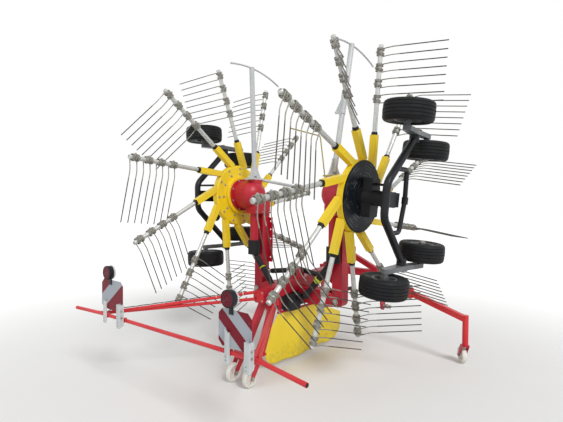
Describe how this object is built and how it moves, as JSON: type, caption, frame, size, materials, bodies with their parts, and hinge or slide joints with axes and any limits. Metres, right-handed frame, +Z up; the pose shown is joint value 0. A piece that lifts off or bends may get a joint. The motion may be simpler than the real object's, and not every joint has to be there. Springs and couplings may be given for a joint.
{
  "type": "two-rotor hay rake",
  "caption": "Mounted two-rotor centre-swath hay rake with both rotor arms folded upright, parked on castor legs, with rear warning boards and a yellow curtain.",
  "frame": {"origin": "middle of the outline on the ground", "axes": "+X to the machine's right, +Y forward to the tractor along the input shaft, +Z up"},
  "size_m": [2.8604, 2.8924, 3.1381],
  "materials": {
    "red_paint": "satin red paint",
    "yellow_paint": "satin yellow paint",
    "black_paint": "scuffed black paint",
    "grey_paint": "dull grey paint",
    "white_paint": "weathered white",
    "galvanised": "dull zinc and bare steel",
    "black_casting": "black painted casting",
    "black_guard": "matt black plastic",
    "rod_chrome": "polished rod",
    "tyre": "black rubber",
    "white_nylon": "scuffed nylon",
    "yellow_sheet": "coated yellow fabric",
    "red_lens": "red lens"
  },
  "bodies": {
    "frame": {"main_frame": "red_paint", "headstock": "red_paint", "middle_gearbox": "black_casting", "input_shaft": "black_guard", "rear_leg": "red_paint", "light_frame": "red_paint", "board_channels": "white_paint", "warning_boards": "white_paint", "rear_lamps": "red_lens", "guard_curtain": "yellow_sheet"},
    "right_arm": {"right_mast": "red_paint", "right_drive_tube": "red_paint", "right_drive_cup": "black_guard", "right_rotor_gearbox": "red_paint", "right_tube_guard": "grey_paint", "right_hub_console": "black_casting", "right_chassis": "black_paint", "right_bogie_beams": "grey_paint"},
    "right_rotor": {"right_rotor_drum": "yellow_paint", "right_cam_cover": "black_paint", "right_tine_arms": "galvanised"},
    "right_wheel_outer_rear": {"right_wheel_outer_rear": "tyre"},
    "right_wheel_outer_front": {"right_wheel_outer_front": "tyre"},
    "right_wheel_inner_rear": {"right_wheel_inner_rear": "tyre"},
    "right_wheel_inner_front": {"right_wheel_inner_front": "tyre"},
    "right_barrel": {"right_cylinder_barrel": "black_paint"},
    "right_rod": {"right_cylinder_rod": "rod_chrome"},
    "right_shaft_lower_half": {"right_shaft_lower": "black_guard"},
    "right_shaft_upper_half": {"right_shaft_upper": "black_guard"},
    "right_stand_arm": {"right_stand": "red_paint"},
    "left_arm": {"left_mast": "red_paint", "left_drive_tube": "red_paint", "left_drive_cup": "black_guard", "left_rotor_gearbox": "red_paint", "left_tube_guard": "grey_paint", "left_hub_console": "black_casting", "left_chassis": "black_paint", "left_bogie_beams": "grey_paint"},
    "left_rotor": {"left_rotor_drum": "yellow_paint", "left_cam_cover": "black_paint", "left_tine_arms": "galvanised"},
    "left_wheel_outer_rear": {"left_wheel_outer_rear": "tyre"},
    "left_wheel_outer_front": {"left_wheel_outer_front": "tyre"},
    "left_wheel_inner_rear": {"left_wheel_inner_rear": "tyre"},
    "left_wheel_inner_front": {"left_wheel_inner_front": "tyre"},
    "left_barrel": {"left_cylinder_barrel": "black_paint"},
    "left_rod": {"left_cylinder_rod": "rod_chrome"},
    "left_shaft_lower_half": {"left_shaft_lower": "black_guard"},
    "left_shaft_upper_half": {"left_shaft_upper": "black_guard"},
    "left_stand_arm": {"left_stand": "red_paint"},
    "rear_left_castor_fork": {"rear_left_castor_fork": "red_paint"},
    "rear_left_castor_wheel": {"rear_left_castor_wheel": "white_nylon"},
    "rear_right_castor_fork": {"rear_right_castor_fork": "red_paint"},
    "rear_right_castor_wheel": {"rear_right_castor_wheel": "white_nylon"},
    "stand_left_castor_fork": {"stand_left_castor_fork": "red_paint"},
    "stand_left_castor_wheel": {"stand_left_castor_wheel": "white_nylon"},
    "stand_right_castor_fork": {"stand_right_castor_fork": "red_paint"},
    "stand_right_castor_wheel": {"stand_right_castor_wheel": "white_nylon"}
  },
  "joints": [
    {"name": "right_arm_fold", "type": "hinge", "parent": "frame", "child": "right_arm", "pos_m": [0.461, 0.2188, 0.68], "axis": [0, 1, 0], "range_deg": [0, 90]},
    {"name": "right_rotor_spin", "type": "hinge", "parent": "right_arm", "child": "right_rotor", "pos_m": [0.471, 0.0938, 1.686], "axis": [0.9955, 0, -0.0948], "continuous": true},
    {"name": "right_wheel_outer_rear_spin", "type": "hinge", "parent": "right_arm", "child": "right_wheel_outer_rear", "pos_m": [1.22385, -0.02528, 2.32149], "axis": [0.0948, 0, 0.9955], "continuous": true},
    {"name": "right_wheel_outer_front_spin", "type": "hinge", "parent": "right_arm", "child": "right_wheel_outer_front", "pos_m": [1.13383, 0.54888, 2.07692], "axis": [0.0948, 0, 0.9955], "continuous": true},
    {"name": "right_wheel_inner_rear_spin", "type": "hinge", "parent": "right_arm", "child": "right_wheel_inner_rear", "pos_m": [1.03073, -0.02596, 0.92551], "axis": [0.0948, 0, 0.9955], "continuous": true},
    {"name": "right_wheel_inner_front_spin", "type": "hinge", "parent": "right_arm", "child": "right_wheel_inner_front", "pos_m": [1.10777, 0.54956, 1.17131], "axis": [0.0948, 0, 0.9955], "continuous": true},
    {"name": "right_barrel_swing", "type": "hinge", "parent": "frame", "child": "right_barrel", "pos_m": [-0.089, 0.2508, 0.93], "axis": [0, 1, 0], "range_deg": [0, 2.03]},
    {"name": "right_rod_slide", "type": "slide", "parent": "right_barrel", "child": "right_rod", "axis": [0.9904, 0, -0.1382], "range_m": [0, 0.3172]},
    {"name": "right_shaft_swing", "type": "hinge", "parent": "frame", "child": "right_shaft_lower_half", "pos_m": [0.131, 0.0938, 0.68], "axis": [0, 1, 0], "range_deg": [0, 49.77]},
    {"name": "right_shaft_slide", "type": "slide", "parent": "right_shaft_lower_half", "child": "right_shaft_upper_half", "axis": [0.6459, 0, 0.7634], "range_m": [0, 0.2092]},
    {"name": "right_stand_swing", "type": "hinge", "parent": "frame", "child": "right_stand_arm", "pos_m": [0.711, 1.2438, 0.637], "axis": [0, 0, 1], "range_deg": [0, 90]},
    {"name": "left_arm_fold", "type": "hinge", "parent": "frame", "child": "left_arm", "pos_m": [-0.539, 0.2188, 0.68], "axis": [0, -1, 0], "range_deg": [0, 90]},
    {"name": "left_rotor_spin", "type": "hinge", "parent": "left_arm", "child": "left_rotor", "pos_m": [-0.549, 0.0938, 1.686], "axis": [-0.9995, 0, -0.0302], "continuous": true},
    {"name": "left_wheel_outer_rear_spin", "type": "hinge", "parent": "left_arm", "child": "left_wheel_outer_rear", "pos_m": [-1.22595, -0.0272, 2.36987], "axis": [-0.0302, 0, 0.9995], "continuous": true},
    {"name": "left_wheel_outer_front_spin", "type": "hinge", "parent": "left_arm", "child": "left_wheel_outer_front", "pos_m": [-1.21835, 0.5508, 2.11799], "axis": [-0.0302, 0, 0.9995], "continuous": true},
    {"name": "left_wheel_inner_rear_spin", "type": "hinge", "parent": "left_arm", "child": "left_wheel_inner_rear", "pos_m": [-1.18345, -0.0272, 0.96252], "axis": [-0.0302, 0, 0.9995], "continuous": true},
    {"name": "left_wheel_inner_front_spin", "type": "hinge", "parent": "left_arm", "child": "left_wheel_inner_front", "pos_m": [-1.19105, 0.5508, 1.2144], "axis": [-0.0302, 0, 0.9995], "continuous": true},
    {"name": "left_barrel_swing", "type": "hinge", "parent": "frame", "child": "left_barrel", "pos_m": [0.011, 0.1868, 0.93], "axis": [0, -1, 0], "range_deg": [0, 2.03]},
    {"name": "left_rod_slide", "type": "slide", "parent": "left_barrel", "child": "left_rod", "axis": [-0.9904, 0, -0.1382], "range_m": [0, 0.3172]},
    {"name": "left_shaft_swing", "type": "hinge", "parent": "frame", "child": "left_shaft_lower_half", "pos_m": [-0.209, 0.0938, 0.68], "axis": [0, -1, 0], "range_deg": [0, 49.77]},
    {"name": "left_shaft_slide", "type": "slide", "parent": "left_shaft_lower_half", "child": "left_shaft_upper_half", "axis": [-0.6459, 0, 0.7634], "range_m": [0, 0.2092]},
    {"name": "left_stand_swing", "type": "hinge", "parent": "frame", "child": "left_stand_arm", "pos_m": [-0.789, 1.2438, 0.637], "axis": [0, 0, -1], "range_deg": [0, 90]},
    {"name": "rear_left_castor_swivel", "type": "hinge", "parent": "frame", "child": "rear_left_castor_fork", "pos_m": [-0.139, -0.5022, 0.2], "axis": [0, 0, 1], "continuous": true},
    {"name": "rear_left_castor_roll", "type": "hinge", "parent": "rear_left_castor_fork", "child": "rear_left_castor_wheel", "pos_m": [-0.139, -0.5822, 0.0825], "axis": [1, 0, 0], "continuous": true},
    {"name": "rear_right_castor_swivel", "type": "hinge", "parent": "frame", "child": "rear_right_castor_fork", "pos_m": [0.061, -0.5022, 0.2], "axis": [0, 0, 1], "continuous": true},
    {"name": "rear_right_castor_roll", "type": "hinge", "parent": "rear_right_castor_fork", "child": "rear_right_castor_wheel", "pos_m": [0.061, -0.5822, 0.0825], "axis": [1, 0, 0], "continuous": true},
    {"name": "stand_left_castor_swivel", "type": "hinge", "parent": "left_stand_arm", "child": "stand_left_castor_fork", "pos_m": [-1.389, 1.1938, 0.2], "axis": [0, 0, 1], "continuous": true},
    {"name": "stand_left_castor_roll", "type": "hinge", "parent": "stand_left_castor_fork", "child": "stand_left_castor_wheel", "pos_m": [-1.34198, 1.25852, 0.0825], "axis": [-0.809, 0.5878, 0], "continuous": true},
    {"name": "stand_right_castor_swivel", "type": "hinge", "parent": "right_stand_arm", "child": "stand_right_castor_fork", "pos_m": [1.311, 1.1938, 0.2], "axis": [0, 0, 1], "continuous": true},
    {"name": "stand_right_castor_roll", "type": "hinge", "parent": "stand_right_castor_fork", "child": "stand_right_castor_wheel", "pos_m": [1.26398, 1.25852, 0.0825], "axis": [-0.809, -0.5878, 0], "continuous": true}
  ],
  "couplings": [
    {"joint": "right_barrel_swing", "follows": "right_arm_fold", "ratio": 0.022448},
    {"joint": "right_rod_slide", "follows": "right_arm_fold", "m_per_rad": 0.20191},
    {"joint": "right_shaft_swing", "follows": "right_arm_fold", "ratio": 0.55293},
    {"joint": "right_shaft_slide", "follows": "right_arm_fold", "m_per_rad": 0.13313},
    {"joint": "right_stand_swing", "follows": "right_arm_fold", "ratio": 1},
    {"joint": "left_barrel_swing", "follows": "left_arm_fold", "ratio": 0.022448},
    {"joint": "left_rod_slide", "follows": "left_arm_fold", "m_per_rad": 0.20191},
    {"joint": "left_shaft_swing", "follows": "left_arm_fold", "ratio": 0.55293},
    {"joint": "left_shaft_slide", "follows": "left_arm_fold", "m_per_rad": 0.13313},
    {"joint": "left_stand_swing", "follows": "left_arm_fold", "ratio": 1}
  ]
}
